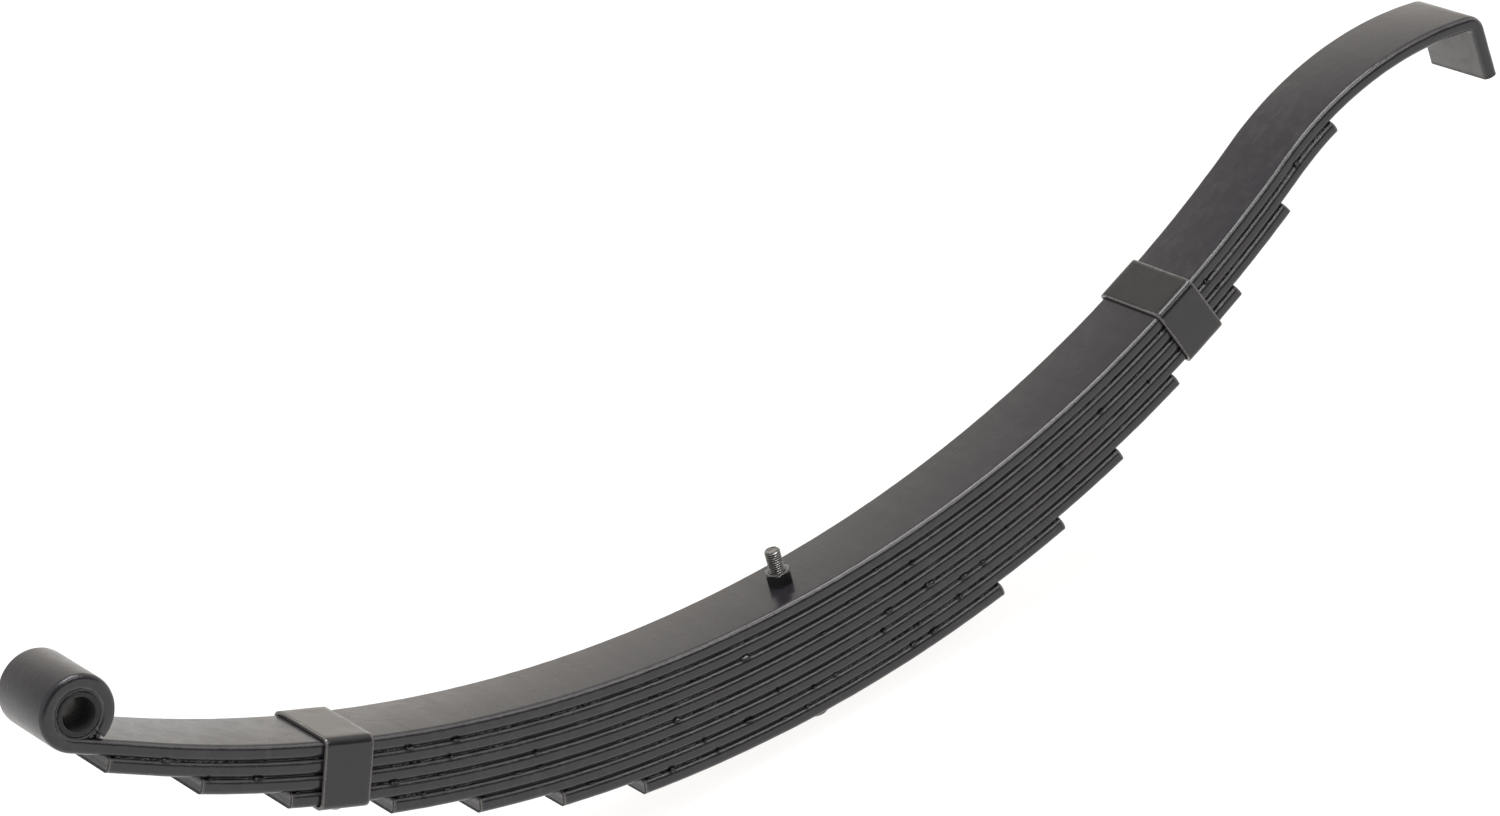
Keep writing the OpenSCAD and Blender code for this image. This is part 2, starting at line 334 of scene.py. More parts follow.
def bush_finish():
    """The bush's bare drawn steel, darkened with paint and oil."""
    finish, tree, shader = new_finish("bush steel")
    steel = use_group(tree, MACHINED, {
        "Bright": (0.016, 0.0155, 0.0165, 1), "Stained": (0.01, 0.0095, 0.0105, 1), "Mark size": 0.0012,
        "Glossiest": 0.14, "Dullest": 0.3})
    bore = maths(tree, "MULTIPLY", attribute(tree, "bore"), 0.8)
    colour = blend_colour(tree, bore, steel["Colour"], (0.045, 0.044, 0.045, 1))
    finish_surface(tree, shader, colour, steel["Roughness"], steel["Height"], 0.00006)
    shader.inputs["Specular IOR Level"].default_value = 0.3
    return finish


def stud_finish():
    """Bright zinc-plated thread, with black paint in its roots near the nut."""
    finish, tree, shader = new_finish("bolt steel")
    steel = use_group(tree, MACHINED, {
        "Bright": (0.24, 0.235, 0.23, 1), "Stained": (0.1, 0.097, 0.093, 1), "Mark size": 0.0006,
        "Glossiest": 0.16, "Dullest": 0.3})
    colour = blend_colour(tree, attribute(tree, "root"), steel["Colour"], (0.02, 0.019, 0.019, 1))
    shader.inputs["Metallic"].default_value = 1.0
    finish_surface(tree, shader, colour, steel["Roughness"], steel["Height"], 0.00002)
    return finish


LEAF_PAINT = leaf_finish()
CLIP_PAINT = fixing_finish(
    "clip paint", (0.0165, 0.0155, 0.016, 1), (0.034, 0.031, 0.029, 1), peel=0.1, worn=0.42, glossiest=0.12)
NUT_PAINT = fixing_finish(
    "nut paint", (0.014, 0.0135, 0.014, 1), (0.035, 0.034, 0.034, 1), peel=0.15, worn=0.7, glossiest=0.14)
BEAD_PAINT = fixing_finish(
    "paint bead", (0.012, 0.011, 0.013, 1), (0.04, 0.038, 0.037, 1), peel=0.3, worn=0.3, glossiest=0.07)
BUSH_STEEL = bush_finish()
BOLT_STEEL = stud_finish()


# ---------------------------------------------------------------- piece helpers

def link(obj):
    bpy.context.scene.collection.objects.link(obj)
    return obj


def set_piece(obj, node, finish=None):
    """obj stands for the CAD node, rides on the one body and takes its finish."""
    if finish is not None:
        obj.data.materials.clear()
        obj.data.materials.append(finish)
    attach(obj, "root")
    if node:
        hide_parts(node)
    return obj


def shade(mesh, angle):
    """Smooth, with edges sharper than angle degrees left crisp."""
    mesh.shade_smooth()
    mesh.set_sharp_from_angle(angle=math.radians(angle))


def mark_edges(mesh, full=50.0):
    """Stores on each point how sharply the surface turns there, 0 for flat and 1 for a corner."""
    bm = bmesh.new()
    bm.from_mesh(mesh)
    mark = bm.verts.layers.float.new("edge")
    for vert in bm.verts:
        turn = max((e.calc_face_angle(0.0) for e in vert.link_edges), default=0.0)
        vert[mark] = min(1.0, math.degrees(turn) / full)
    bm.to_mesh(mesh)
    bm.free()


def skin_mesh(name, rows, loop=False):
    """A skin over closed rings of points, each row a ring.

    The end rings are capped by a middle point, or with loop joined to each other.
    """
    bm = bmesh.new()
    rings = [[bm.verts.new(p) for p in row] for row in rows]
    if loop:
        rings.append(rings[0])
    count = len(rings[0])
    for a, b in zip(rings, rings[1:]):
        for i in range(count):
            j = (i + 1) % count
            bm.faces.new((a[i], a[j], b[j], b[i]))
    if not loop:
        for ring in (rings[0], rings[-1]):
            middle = bm.verts.new(sum((v.co for v in ring), Vector()) / count)
            for i in range(count):
                bm.faces.new((ring[i], ring[(i + 1) % count], middle))
    bmesh.ops.recalc_face_normals(bm, faces=bm.faces)
    mesh = bpy.data.meshes.new(name)
    bm.to_mesh(mesh)
    bm.free()
    return mesh


def store_on_points(mesh, name, value):
    """Keeps value(place) on each point of the mesh under a name."""
    layer = mesh.attributes.new(name, "FLOAT", "POINT")
    for i, vert in enumerate(mesh.vertices):
        layer.data[i].value = value(vert.co)


def between(value, low, high):
    """How far value is from low to high, kept between 0 and 1."""
    return max(0.0, min(1.0, (value - low) / (high - low)))


# ---------------------------------------------------------------- leaf lines

def trace(start, runs):
    """Points on a leaf's upper face from start, with the way its upper face looks: (x, z, nx, nz).

    Each run is (radius, degrees) for a bend, a minus radius bending down, or (None, length).
    """
    x, z = start
    heading = 0.0
    points = [(x, z, 0.0, 1.0)]
    for radius, size in runs:
        if radius is None:
            steps = max(2, round(size / LINE_STEP))
            for _ in range(steps):
                x += math.cos(heading) * size / steps
                z += math.sin(heading) * size / steps
                points.append((x, z, -math.sin(heading), math.cos(heading)))
            continue
        total = math.radians(size)
        steps = max(4, round(total * abs(radius) / LINE_STEP), round(size / 5.0))
        turn = total / steps * (1 if radius > 0 else -1)
        chord = 2 * abs(radius) * math.sin(abs(turn) / 2)
        for _ in range(steps):
            x += math.cos(heading + turn / 2) * chord
            z += math.sin(heading + turn / 2) * chord
            heading += turn
            points.append((x, z, -math.sin(heading), math.cos(heading)))
    return points


def camber_degrees(length):
    return math.degrees(length / CAMBER_R)


def leaf_runs(k):
    """The bends of leaf k, eye side and slipper side, from the bolt outwards."""
    radius = CAMBER_R + (k - 1) * LEAF_T
    eye = [(radius, camber_degrees(EYE_ARC))]
    slipper = [(radius, camber_degrees(SLIPPER_ARC))]
    if k == 1:
        eye += [(None, EYE_STRAIGHT), (EYE_IN_R, EYE_WRAP)]
        slipper += [(-PAD_R, camber_degrees(SLIPPER_ARC) + PAD_SLOPE)]
        slipper += [(-HOOK_OUT_R, 90 - PAD_SLOPE - TAIL_ANGLE), (None, TAIL_LEN)]
        return eye, slipper
    eye_len = LEAF_LEN[k] / 2 + HOLE_OFFSET
    slipper_len = LEAF_LEN[k] / 2 - HOLE_OFFSET
    if k == 2:
        eye += [(None, eye_len - EYE_ARC)]
        slipper += [(LEAF_T - PAD_R, math.degrees((slipper_len - SLIPPER_ARC) / PAD_R))]
        return eye, slipper
    return [(radius, camber_degrees(eye_len))], [(radius, camber_degrees(slipper_len))]


def leaf_line(k):
    """Leaf k's upper face from its eye-side end to its slipper-side end."""
    start = (0.0, PACK_H - (k - 1) * LEAF_T)
    eye, slipper = leaf_runs(k)
    left = [(-x, z, -nx, nz) for x, z, nx, nz in trace(start, eye)]
    return left[::-1] + trace(start, slipper)[1:]


def line_mesh(name, points):
    """A bare polyline whose points carry the way the leaf's upper face looks."""
    mesh = bpy.data.meshes.new(name)
    edges = [(i, i + 1) for i in range(len(points) - 1)]
    mesh.from_pydata([(x, 0.0, z) for x, z, _, _ in points], edges, [])
    facing = mesh.attributes.new("facing", "FLOAT_VECTOR", "POINT")
    for i, (_, _, nx, nz) in enumerate(points):
        facing.data[i].vector = (nx, 0.0, nz)
    return mesh


# ---------------------------------------------------------------- geometry trees

def new_tree(name, inputs):
    """An empty geometry tree with named inputs, and its two end nodes."""
    tree = bpy.data.node_groups.new(name, "GeometryNodeTree")
    tree.interface.new_socket("Geometry", in_out="INPUT", socket_type="NodeSocketGeometry")
    for label, kind in inputs:
        tree.interface.new_socket(label, in_out="INPUT", socket_type="NodeSocket" + kind)
    tree.interface.new_socket("Geometry", in_out="OUTPUT", socket_type="NodeSocketGeometry")
    return tree, tree.nodes.new("NodeGroupInput").outputs, tree.nodes.new("NodeGroupOutput").inputs


def store(tree, geometry, name, value):
    """Keeps a value on the geometry's points under a name."""
    inputs = {"Geometry": geometry, "Name": name, "Value": value}
    node = add(tree, "GeometryNodeStoreNamedAttribute", inputs, data_type="FLOAT", domain="POINT")
    return node.outputs["Geometry"]


def position(tree):
    return tree.nodes.new("GeometryNodeInputPosition").outputs["Position"]


def push_out(tree, geometry, distance):
    """Moves each point along its normal by a distance that may vary."""
    normal = tree.nodes.new("GeometryNodeInputNormal").outputs["Normal"]
    offset = add(tree, "ShaderNodeVectorMath", {0: normal, "Scale": distance}, operation="SCALE")
    inputs = {"Geometry": geometry, "Offset": offset.outputs["Vector"]}
    return add(tree, "GeometryNodeSetPosition", inputs).outputs["Geometry"]


def realize(tree, geometry):
    return add(tree, "GeometryNodeRealizeInstances", {"Geometry": geometry}).outputs["Geometry"]


def dress(tree, geometry, finish, out):
    """Ends a tree: gives the geometry its finish and puts it out."""
    dressed = add(tree, "GeometryNodeSetMaterial", {"Geometry": geometry, "Material": finish})
    tree.links.new(dressed.outputs["Geometry"], out["Geometry"])


def leaf_tree():
    """A rolled bar swept along a line, its long corners rounded and its skin slightly lumpy."""
    tree, given, out = new_tree("rolled leaf", [
        ("Width", "Float"), ("Thickness", "Float"), ("Edge radius", "Float"), ("Edge facets", "Int"),
        ("Lump size", "Float"), ("Lump height", "Float"), ("Seed", "Int"), ("Finish", "Material")])
    spine = add(tree, "GeometryNodeMeshToCurve", {"Mesh": given["Geometry"]}).outputs["Curve"]
    facing = add(tree, "GeometryNodeInputNamedAttribute", {"Name": "facing"}, data_type="FLOAT_VECTOR")
    inputs = {"Curve": spine, "Normal": facing.outputs["Attribute"]}
    spine = add(tree, "GeometryNodeSetCurveNormal", inputs, mode="FREE").outputs["Curve"]

    inputs = {"Width": given["Thickness"], "Height": given["Width"]}
    bar = add(tree, "GeometryNodeCurvePrimitiveQuadrilateral", inputs).outputs["Curve"]
    inputs = {"Curve": bar, "Radius": given["Edge radius"], "Count": given["Edge facets"]}
    bar = add(tree, "GeometryNodeFilletCurve", inputs, mode="POLY").outputs["Curve"]
    drop = combine(tree, X=maths(tree, "MULTIPLY", given["Thickness"], -0.5))
    bar = add(tree, "GeometryNodeTransform", {"Geometry": bar, "Translation": drop}).outputs["Geometry"]
    split = add(tree, "ShaderNodeSeparateXYZ", {"Vector": position(tree)}).outputs
    depth = maths(tree, "DIVIDE", split["X"], maths(tree, "MULTIPLY", given["Thickness"], -1.0))
    across = maths(tree, "DIVIDE", split["Y"], maths(tree, "MULTIPLY", given["Width"], 0.5))
    bar = store(tree, bar, "depth", depth)
    bar = store(tree, bar, "across", across)

    inputs = {"Curve": spine, "Profile Curve": bar, "Fill Caps": True}
    skin = add(tree, "GeometryNodeCurveToMesh", inputs).outputs["Mesh"]
    inputs = {"Vector": position(tree), "W": given["Seed"], "Detail": 3.0, "Roughness": 0.6,
              "Scale": maths(tree, "DIVIDE", 1.0, given["Lump size"])}
    wobble = add(tree, "ShaderNodeTexNoise", inputs, noise_dimensions="4D").outputs["Fac"]
    push = maths(tree, "MULTIPLY", maths(tree, "SUBTRACT", wobble, 0.62), given["Lump height"])
    skin = push_out(tree, skin, push)
    dress(tree, realize(tree, skin), given["Finish"], out)
    return tree


def run_tree(name, tree, mesh, values):
    """A piece whose mesh is what the tree makes of mesh with these values."""
    obj = link(bpy.data.objects.new(name, mesh))
    modifier = obj.modifiers.new("shape", "NODES")
    modifier.node_group = tree
    for item in tree.interface.items_tree:
        if item.in_out == "INPUT" and item.name in values:
            modifier[item.identifier] = values[item.name]
    bpy.context.view_layer.update()
    graph = bpy.context.evaluated_depsgraph_get()
    made = bpy.data.meshes.new_from_object(obj.evaluated_get(graph), preserve_all_data_layers=True,
                                           depsgraph=graph)
    obj.modifiers.clear()
    obj.data = made
    made.name = name
    return obj


# ---------------------------------------------------------------- leaves

# How a cut end is set in, step by step: millimetres inwards and millimetres out of the end
END_STEPS = ((0.12, 0.24), (0.22, 0.14), (0.7, 0.06), (1.6, 0.0))
END_UNEVEN = 0.28 * MM


def mark_leaf(bm):
    """Stores where a leaf's upper shoulders (rubbed, with painted highlight) and sides are, and where the
    hook's inside takes a painted reflection.
    """
    shoulder_wear_and_highlight = bm.verts.layers.float.new("shoulder_wear_and_highlight")
    side = bm.verts.layers.float.new("side")
    painted_hook_sheen = bm.verts.layers.float.new("painted_hook_sheen")
    depth = bm.verts.layers.float["depth"]
    across = bm.verts.layers.float["across"]
    flat = 1 - EDGE_R / (LEAF_W / 2)
    for vert in bm.verts:
        out = max(0.0, (abs(vert[across]) - flat) / (1 - flat))
        upper = vert[depth] < EDGE_R / LEAF_T
        # Upper shoulders only: rubbed paint plus painted highlight.
        vert[shoulder_wear_and_highlight] = max(0.0, 1 - abs(out - 0.72) / 0.28) if upper else 0.0
        vert[side] = min(1.0, out * 1.5)
        # Underside corners inside the hook, which take a painted reflection.
        lower = between(vert[depth], 0.6, 0.85) * (1 - min(1.0, out * 1.2))
        vert[painted_hook_sheen] = lower * between(vert.co.x, HOOK_X, HOOK_X + 8 * MM)


def shear_ends(bm, seed, lip_wear_and_highlight_share):
    """Rounds the two cut ends' corners and leaves their faces uneven; the last argument is how much their
    outer lip is worn and lightened with painted highlight.
    """
    sheared = bm.verts.layers.float.new("sheared")
    lip_wear_and_highlight = bm.verts.layers.float.new("lip_wear_and_highlight")
    ends = [f for f in bm.faces if len(f.verts) > 8]
    for end in ends:
        for thick, deep in END_STEPS:
            before = set(bm.verts)
            bmesh.ops.inset_region(
                bm, faces=[end], thickness=thick * MM, depth=deep * MM, use_even_offset=True)
            for vert in set(bm.verts) - before:
                vert[sheared] = 1.0
                # The outer lip of each cut end: worn paint and painted highlight.
                vert[lip_wear_and_highlight] = lip_wear_and_highlight_share if thick < 0.2 else 0.0
                if thick > 0.5:
                    slant = noise.noise(vert.co * 220 + Vector((seed, 0, 0)))
                    vert.co += end.normal * slant * END_UNEVEN
        end.normal_update()


def finish_leaf(mesh, seed, lip_wear_and_highlight_share):
    """Marks a swept leaf and finishes its ends."""
    bm = bmesh.new()
    bm.from_mesh(mesh)
    mark_leaf(bm)
    shear_ends(bm, seed, lip_wear_and_highlight_share)
    bm.normal_update()
    bm.to_mesh(mesh)
    bm.free()
    shade(mesh, 30)


# Half sizes of the smallest and largest run of paint, in millimetres: across, up and along the seam
RUN_SMALL = (0.9, 0.6, 0.7)
RUN_LARGE = (3.6, 1.0, 4.5)


def paint_tube(tree, line, step, radius):
    """A thin tube along a line, cut into short steps."""
    fine = add(tree, "GeometryNodeResampleCurve", {"Curve": line, "Length": step}, mode="LENGTH")
    ring = add(tree, "GeometryNodeCurvePrimitiveCircle", {"Resolution": 7, "Radius": radius})
    inputs = {"Curve": fine.outputs["Curve"], "Profile Curve": ring.outputs["Curve"], "Fill Caps": True}
    return add(tree, "GeometryNodeCurveToMesh", inputs).outputs["Mesh"]


def paint_runs(tree, line, given):
    """Small balls of paint at random places along a line, standing out from it."""
    inputs = {"Curve": line, "Length": given["Run spacing"]}
    spots = add(tree, "GeometryNodeCurveToPoints", inputs, mode="LENGTH").outputs
    across = add(tree, "ShaderNodeSeparateXYZ", {"Vector": position(tree)}).outputs["Y"]
    outward = maths(tree, "MULTIPLY", maths(tree, "SIGN", across), given["Run stand-out"])
    inputs = {"Geometry": spots["Points"], "Offset": combine(tree, Y=outward)}
    moved = add(tree, "GeometryNodeSetPosition", inputs).outputs["Geometry"]
    inputs = {0: [v * MM for v in RUN_SMALL], 1: [v * MM for v in RUN_LARGE], "Seed": given["Seed"]}
    size = add(tree, "FunctionNodeRandomValue", inputs, data_type="FLOAT_VECTOR").outputs[0]
    inputs = {2: 0.0, 3: 1.0, "Seed": maths(tree, "ADD", given["Seed"], 7.0)}
    chance = add(tree, "FunctionNodeRandomValue", inputs, data_type="FLOAT").outputs[1]
    inputs = {0: chance, 1: given["Run share"]}
    keep = add(tree, "FunctionNodeCompare", inputs, data_type="FLOAT", operation="LESS_THAN")
    ball = add(tree, "GeometryNodeMeshIcoSphere", {"Radius": 1.0, "Subdivisions": 3}).outputs["Mesh"]
    inputs = {"Points": moved, "Instance": ball, "Selection": keep.outputs["Result"],
              "Rotation": spots["Rotation"], "Scale": size}
    return add(tree, "GeometryNodeInstanceOnPoints", inputs).outputs["Instances"]


def seam_tree():
    """Paint dried along lines: a thin uneven fillet, lumpy in places, with short runs across it."""
    tree, given, out = new_tree("paint in the seams", [
        ("Fillet radius", "Float"), ("Unevenness", "Float"), ("Lump height", "Float"), ("Step", "Float"),
        ("Run spacing", "Float"), ("Run share", "Float"), ("Run stand-out", "Float"),
        ("Seed", "Int"), ("Finish", "Material")])
    line = add(tree, "GeometryNodeMeshToCurve", {"Mesh": given["Geometry"]}).outputs["Curve"]
    joined = tree.nodes.new("GeometryNodeJoinGeometry")
    tube = paint_tube(tree, line, given["Step"], given["Fillet radius"])
    tree.links.new(tube, joined.inputs["Geometry"])
    tree.links.new(paint_runs(tree, line, given), joined.inputs["Geometry"])
    paint = realize(tree, joined.outputs["Geometry"])

    place = position(tree)
    wave = maths(tree, "SUBTRACT", grain(tree, place, 70.0, 3.0, 0.6), 0.52)
    wave = maths(tree, "MULTIPLY", wave, given["Unevenness"])
    cluster = remap(tree, grain(tree, place, 16.0, 2.0, 0.5), 0.46, 0.58)
    lump = maths(tree, "SUBTRACT", grain(tree, place, 330.0, 2.0, 0.6), 0.42)
    lump = maths(tree, "MULTIPLY", maths(tree, "MULTIPLY", lump, cluster), given["Lump height"])
    paint = push_out(tree, paint, maths(tree, "ADD", wave, lump))
    paint = add(tree, "GeometryNodeSetShadeSmooth", {"Geometry": paint}).outputs["Geometry"]
    dress(tree, paint, given["Finish"], out)
    return tree


def seam_lines():
    """One polyline for each seam on each side, just inside the leaves' edges."""
    mesh = bpy.data.meshes.new("seam_lines")
    points = []
    edges = []
    for k in range(2, LEAVES + 1):
        line = leaf_line(k)[2:-2]
        for side in (-1, 1):
            first = len(points)
            points += [(x, side * SEAM_Y, z) for x, z, _, _ in line]
            edges += [(i, i + 1) for i in range(first, len(points) - 1)]
    mesh.from_pydata(points, edges, [])
    return mesh


# The ring of paint round each end of the bush: out from its skin, and in from the leaf's side
EYE_RING_OUT = 0.9 * MM
EYE_RING_IN = 2.8 * MM
EYE_RING_POINTS = 96
# Where paint fills the gap under the eye's end: degrees round the eye, and millimetres out from the bush
GAP_FILL = ((24, 0.7), (34, 1.7), (43, 3.4), (52, 3.4), (54, 7.4))
GAP_LINE = LEAF_W - 6 * MM
GAP_STEPS = 20


def eye_lines():
    """A ring round each end of the bush, and lines across the leaf in the gap where the eye closes."""
    mesh = bpy.data.meshes.new("eye_lines")
    points = []
    edges = []
    centre = eye_centre()
    for side in (-1, 1):
        first = len(points)
        y = side * (LEAF_W / 2 - EYE_RING_IN)
        points += ring_points(EYE_IN_R + EYE_RING_OUT, y, EYE_RING_POINTS, "Y", centre)
        edges += [(first + i, first + (i + 1) % EYE_RING_POINTS) for i in range(EYE_RING_POINTS)]
    for turn, off in GAP_FILL:
        first = len(points)
        angle = math.radians(turn - 90) - EYE_ARC / CAMBER_R
        x = centre.x + (EYE_IN_R + off * MM) * math.cos(angle)
        z = centre.z + (EYE_IN_R + off * MM) * math.sin(angle)
        points += [(x, (i / GAP_STEPS - 0.5) * GAP_LINE, z) for i in range(GAP_STEPS + 1)]
        edges += [(i, i + 1) for i in range(first, len(points) - 1)]
    mesh.from_pydata(points, edges, [])
    return mesh


def build_seam_paint():
    """The paint in the seams, and the fuller paint round the bush and in the eye's gap."""
    tree = seam_tree()
    values = {
        "Fillet radius": 0.5 * MM, "Unevenness": 0.9 * MM, "Lump height": 7.5 * MM, "Step": 1.2 * MM,
        "Run spacing": 19 * MM, "Run share": 0.2, "Run stand-out": 1.3 * MM,
        "Seed": 21, "Finish": BEAD_PAINT}
    paint = run_tree("seam_paint", tree, seam_lines(), values)
    set_piece(paint, None, BEAD_PAINT)
    values.update({"Fillet radius": 1.8 * MM, "Unevenness": 2.6 * MM, "Lump height": 5.0 * MM,
                   "Run share": 0.0, "Seed": 4})
    eye_paint = run_tree("eye_paint", tree, eye_lines(), values)
    set_piece(eye_paint, None, BEAD_PAINT)


def build_leaves():
    """Leaves 1 to 8 from the top; the main leaf's cut ends keep their paint, the others' lips are worn bare
    and lightened with painted highlight.
    """
    tree = leaf_tree()
    names = {1: "main_leaf"}
    names.update({k: "leaf_%d" % k for k in range(2, LEAVES + 1)})
    for k, node in names.items():
        line = line_mesh(node + "_line", leaf_line(k))
        leaf = run_tree(node + "_rolled", tree, line, {
            "Width": LEAF_W, "Thickness": LEAF_T, "Edge radius": EDGE_R, "Edge facets": 8,
            "Lump size": 16 * MM, "Lump height": 0.5 * MM, "Seed": 11 + k, "Finish": LEAF_PAINT})
        finish_leaf(leaf.data, 5 + k, 0.9 if k > 1 else 0.0)
        set_piece(leaf, node, LEAF_PAINT)


# ---------------------------------------------------------------- turned pieces

def ring_points(radius, height, count, axis="Z", centre=(0.0, 0.0, 0.0)):
    """A ring of points about an axis; radius is a length, or a rule from angle and height to one."""
    points = []
    for i in range(count):
        angle = 2 * math.pi * i / count
        r = radius(angle, height) if callable(radius) else radius
        if axis == "Z":
            p = Vector((r * math.cos(angle), r * math.sin(angle), height))
        else:
            p = Vector((r * math.cos(angle), height, r * math.sin(angle)))
        points.append(p + Vector(centre))
    return points


def eye_centre():
    """Middle of the rolled eye, from its CAD node's box."""
    low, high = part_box("eye_bush")
    return Vector(((low[0] + high[0]) / 2, 0.0, (low[2] + high[2]) / 2))


def bush_section():
    """The outline of the bush's wall, as radius and place along the bush."""
    section = []
    for side in (-1, 1):
        half = []
        for i in range(7):
            turn = math.radians(90 * i / 6)
            radius = EYE_IN_R - BUSH_ROUND * (1 - math.cos(turn))
            half.append((radius, side * (BUSH_HALF - BUSH_ROUND * (1 - math.sin(turn)))))
        half.append((BUSH_BORE_R + BORE_BREAK, side * BUSH_HALF))
        half.append((BUSH_BORE_R + 0.3 * BORE_BREAK, side * (BUSH_HALF - 0.24 * BORE_BREAK)))
        half.append((BUSH_BORE_R, side * (BUSH_HALF - BORE_BREAK)))
        section += half if side < 0 else half[::-1]
    return section


def build_bush():
    """A steel tube pressed into the eye, its outer corners rolled over and its bore's edges broken."""
    centre = eye_centre()
    rows = [ring_points(radius, y, 96, "Y", centre) for radius, y in bush_section()]
    mesh = skin_mesh("eye_bush_turned", rows, loop=True)

    def in_bore(place):
        radius = math.hypot(place.x - centre.x, place.z - centre.z)
        return 1.0 if radius < BUSH_BORE_R + 0.3 * MM else 0.0

    store_on_points(mesh, "bore", in_bore)
    shade(mesh, 40)
    bush = link(bpy.data.objects.new("eye_bush_turned", mesh))
    set_piece(bush, "eye_bush", BUSH_STEEL)


def thread_radius(angle, height):
    """Radius of the right-handed V thread at that angle and height, coned off at the stud's tip."""
    phase = (height / THREAD_PITCH - angle / (2 * math.pi)) % 1.0
    flank = abs(phase - 0.5) * 2
    crest = between(flank, 0.1, 0.85)
    cone = BOLT_R - max(0.0, height - (STUD_TOP - TIP_CONE))
    return min(cone, BOLT_R - THREAD_DEPTH * (1 - crest))


def bolt_paint(place):
    """How much black paint the bolt carries: all of it up to the nut, then only in the thread's roots."""
    if place.z < NUT_TOP - 0.5 * MM:
        return 1.0
    if place.z > STUD_TOP - 1.3 * MM:
        return 0.0
    root = between(math.hypot(place.x, place.y), BOLT_R - 0.45 * MM, BOLT_R - 0.85 * MM)
    near_nut = max(0.0, 1 - (place.z - NUT_TOP) / (5 * MM))
    return min(1.0, root * (0.5 + near_nut))


def build_bolt():
    """Plain cylindrical head, shank through the leaves, and a bright thread above the nut."""
    count = 64
    outline = ((HEAD_R - HEAD_BEVEL, -HEAD_H), (HEAD_R - 0.3 * MM, 0.3 * MM - HEAD_H + HEAD_BEVEL * 0.6),
               (HEAD_R, HEAD_BEVEL - HEAD_H), (HEAD_R, -0.4 * MM), (HEAD_R - 0.4 * MM, 0.0),
               (BOLT_R, 0.0), (BOLT_R, NUT_TOP - 1 * MM))
    rows = [ring_points(radius, z, count) for radius, z in outline]
    base = NUT_TOP - 0.9 * MM
    steps = round((STUD_TOP - base) / THREAD_STEP)
    for i in range(steps + 1):
        rows.append(ring_points(thread_radius, base + (STUD_TOP - base) * i / steps, count))
    rows.append(ring_points(BOLT_R - 2.2 * MM, STUD_TOP, count))
    rows.append(ring_points(BOLT_R - 2.6 * MM, STUD_TOP - 0.15 * MM, count))
    mesh = skin_mesh("centre_bolt_turned", rows)
    store_on_points(mesh, "root", bolt_paint)
    shade(mesh, 35)
    bolt = link(bpy.data.objects.new("centre_bolt_turned", mesh))
    set_piece(bolt, "centre_bolt", BOLT_STEEL)


def nut_radius(angle, height):
    """Radius of the hexagon at that angle, cut back by the chamfer near either face."""
    corner = NUT_FLATS_R / math.cos(math.radians(30)) - 0.25 * MM
    turn = angle % math.radians(60) - math.radians(30)
    up = height - NUT_SEAT
    chamfer = NUT_FLATS_R - 0.2 * MM + min(up, NUT_H - up) * 2.2
    return min(NUT_FLATS_R / math.cos(turn), corner, chamfer)


# Heights of the nut's rings above its seat, in millimetres, up to its middle; the rest mirror them
NUT_LEVELS = (0.0, 0.12, 0.25, 0.4, 0.6, 0.85, 1.1, 1.4, 2.0, 5.0)


def build_nut():
    """Hexagon nut, both faces chamfered, its bore countersunk."""
    count = 96
    levels = [v * MM for v in NUT_LEVELS]
    levels += [NUT_H - v for v in levels[-2::-1]]
    rows = [ring_points(BOLT_R + 0.02 * MM, NUT_SEAT + 1 * MM, count)]
    rows.append(ring_points(BOLT_R + NUT_SINK, NUT_SEAT, count))
    rows += [ring_points(nut_radius, NUT_SEAT + v, count) for v in levels]
    rows.append(ring_points(BOLT_R + NUT_SINK, NUT_TOP, count))
    rows.append(ring_points(BOLT_R + 0.02 * MM, NUT_TOP - NUT_SINK, count))
    mesh = skin_mesh("centre_nut_forged", rows, loop=True)
    mark_edges(mesh)
    shade(mesh, 30)
    nut = link(bpy.data.objects.new("centre_nut_forged", mesh))
    set_piece(nut, "centre_nut", NUT_PAINT)


# ---------------------------------------------------------------- clips

def at_station(s):
    """Place of a frame on the main leaf's upper face, s metres along the camber from the bolt."""
    turn = s / CAMBER_R
    return (Matrix.Translation((0.0, 0.0, CAMBER_Z)) @ Matrix.Rotation(-turn, 4, "Y")
            @ Matrix.Translation((0.0, 0.0, -CAMBER_R)))


def strap_line(inset):
    """The strap's outline round the leaves, inset from its outside, from one folded end to the other."""
    y1 = STRAP_Y - inset
    top = STRAP_TOP - inset
    low = STRAP_LOW + inset
    r = max(STRAP_BEND - inset, 0.3 * MM)
    line = [(STRAP_GAP / 2, low)]
    corners = ((y1 - r, low + r), (y1 - r, top - r), (r - y1, top - r), (r - y1, low + r))
    for quarter, (cy, cz) in enumerate(corners):
        for i in range(9):
            a = math.radians(90 * (quarter - 1) + 90 * i / 8)
            line.append((cy + r * math.cos(a), cz + r * math.sin(a)))
    line.append((-STRAP_GAP / 2, low))
    dense = [line[0]]
    for a, b in zip(line, line[1:]):
        gap = math.hypot(b[0] - a[0], b[1] - a[1])
        steps = max(1, round(gap / STRAP_STEP))
        for i in range(1, steps + 1):
            dense.append((a[0] + (b[0] - a[0]) * i / steps, a[1] + (b[1] - a[1]) * i / steps))
    return dense


